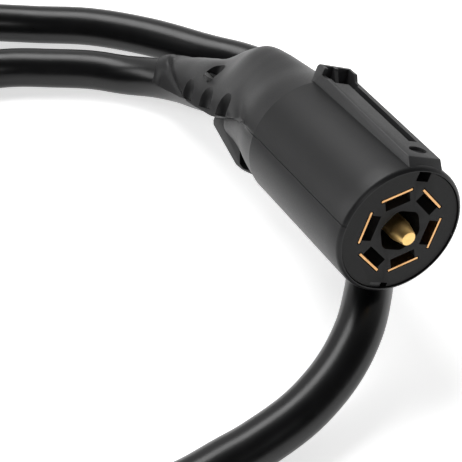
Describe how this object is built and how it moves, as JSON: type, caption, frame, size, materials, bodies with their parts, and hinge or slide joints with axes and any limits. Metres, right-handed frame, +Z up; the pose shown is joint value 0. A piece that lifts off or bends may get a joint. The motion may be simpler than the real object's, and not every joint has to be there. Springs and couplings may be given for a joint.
{
  "type": "trailer wiring connector",
  "caption": "Round trailer plug with sprung blade contacts around a middle pin, a key rail with a latch stop, a gripped tongue and a heavy round cord.",
  "frame": {"origin": "middle of the plug's bounding box, without the cord", "axes": "+Z up from the table; +Y to the back, away from the plug's nose; +X to the right; the plug lies turned 24.7 degrees, its nose up 8.2 degrees and rolled 26.9 degrees"},
  "size_m": [0.3567, 0.2817, 0.0776],
  "materials": {
    "shell": "fine matt grain, black",
    "carrier": "matt, black",
    "pin_brass": "turned, bright",
    "terminal_brass": "satin",
    "copper": "rolled copper strip, satin",
    "screw_steel": "zinc plated",
    "jacket": "satin black jacket",
    "wire_white": "smooth insulation",
    "wire_brown": "smooth insulation",
    "wire_green": "smooth insulation",
    "wire_yellow": "smooth insulation",
    "wire_red": "smooth insulation",
    "wire_blue": "smooth insulation",
    "wire_black": "smooth insulation"
  },
  "bodies": {
    "plug_and_cord": {"upper_shell": "shell", "lower_shell": "shell", "contact_carrier": "carrier", "centre_pin": "pin_brass", "terminal_1": "terminal_brass", "terminal_screw_1": "screw_steel", "terminal_2": "terminal_brass", "terminal_screw_2": "screw_steel", "terminal_3": "terminal_brass", "terminal_screw_3": "screw_steel", "terminal_4": "terminal_brass", "terminal_screw_4": "screw_steel", "terminal_5": "terminal_brass", "terminal_screw_5": "screw_steel", "terminal_6": "terminal_brass", "terminal_screw_6": "screw_steel", "terminal_middle": "terminal_brass", "terminal_screw_middle": "screw_steel", "clamp_screw_left": "screw_steel", "clamp_screw_right": "screw_steel", "conductor_white": "wire_white", "conductor_brown": "wire_brown", "conductor_green": "wire_green", "conductor_yellow": "wire_yellow", "conductor_red": "wire_red", "conductor_blue": "wire_blue", "conductor_black": "wire_black", "cord_tube": "jacket", "cord_coil": "jacket", "bare_wire_white": "wire_white", "bare_wire_brown": "wire_brown", "bare_wire_green": "wire_green", "bare_wire_yellow": "wire_yellow", "bare_wire_red": "wire_red", "bare_wire_blue": "wire_blue", "bare_wire_black": "wire_black"},
    "leaf_1": {"contact_leaf_1": "copper"},
    "leaf_2": {"contact_leaf_2": "copper"},
    "leaf_3": {"contact_leaf_3": "copper"},
    "leaf_4": {"contact_leaf_4": "copper"},
    "leaf_5": {"contact_leaf_5": "copper"},
    "leaf_6": {"contact_leaf_6": "copper"}
  },
  "joints": [
    {"name": "leaf_1_flex", "type": "hinge", "parent": "plug_and_cord", "child": "leaf_1", "pos_m": [0.03275, -0.04308, 0.01677], "axis": [-0.5461, -0.1197, 0.8292], "range_deg": [0, 0.8], "stiffness_Nm_per_rad": 0.5},
    {"name": "leaf_2_flex", "type": "hinge", "parent": "plug_and_cord", "child": "leaf_2", "pos_m": [0.03425, -0.04455, 0.00313], "axis": [0.3579, 0.3046, 0.8827], "range_deg": [0, 0.8], "stiffness_Nm_per_rad": 0.5},
    {"name": "leaf_3_flex", "type": "hinge", "parent": "plug_and_cord", "child": "leaf_3", "pos_m": [0.0242, -0.05036, -0.00433], "axis": [0.904, 0.4243, 0.0535], "range_deg": [0, 0.8], "stiffness_Nm_per_rad": 0.5},
    {"name": "leaf_4_flex", "type": "hinge", "parent": "plug_and_cord", "child": "leaf_4", "pos_m": [0.01264, -0.0547, 0.00185], "axis": [0.5461, 0.1197, -0.8292], "range_deg": [0, 0.8], "stiffness_Nm_per_rad": 0.5},
    {"name": "leaf_5_flex", "type": "hinge", "parent": "plug_and_cord", "child": "leaf_5", "pos_m": [0.01115, -0.05322, 0.01549], "axis": [-0.3579, -0.3046, -0.8827], "range_deg": [0, 0.8], "stiffness_Nm_per_rad": 0.5},
    {"name": "leaf_6_flex", "type": "hinge", "parent": "plug_and_cord", "child": "leaf_6", "pos_m": [0.0212, -0.04741, 0.02295], "axis": [-0.904, -0.4243, -0.0535], "range_deg": [0, 0.8], "stiffness_Nm_per_rad": 0.5}
  ]
}
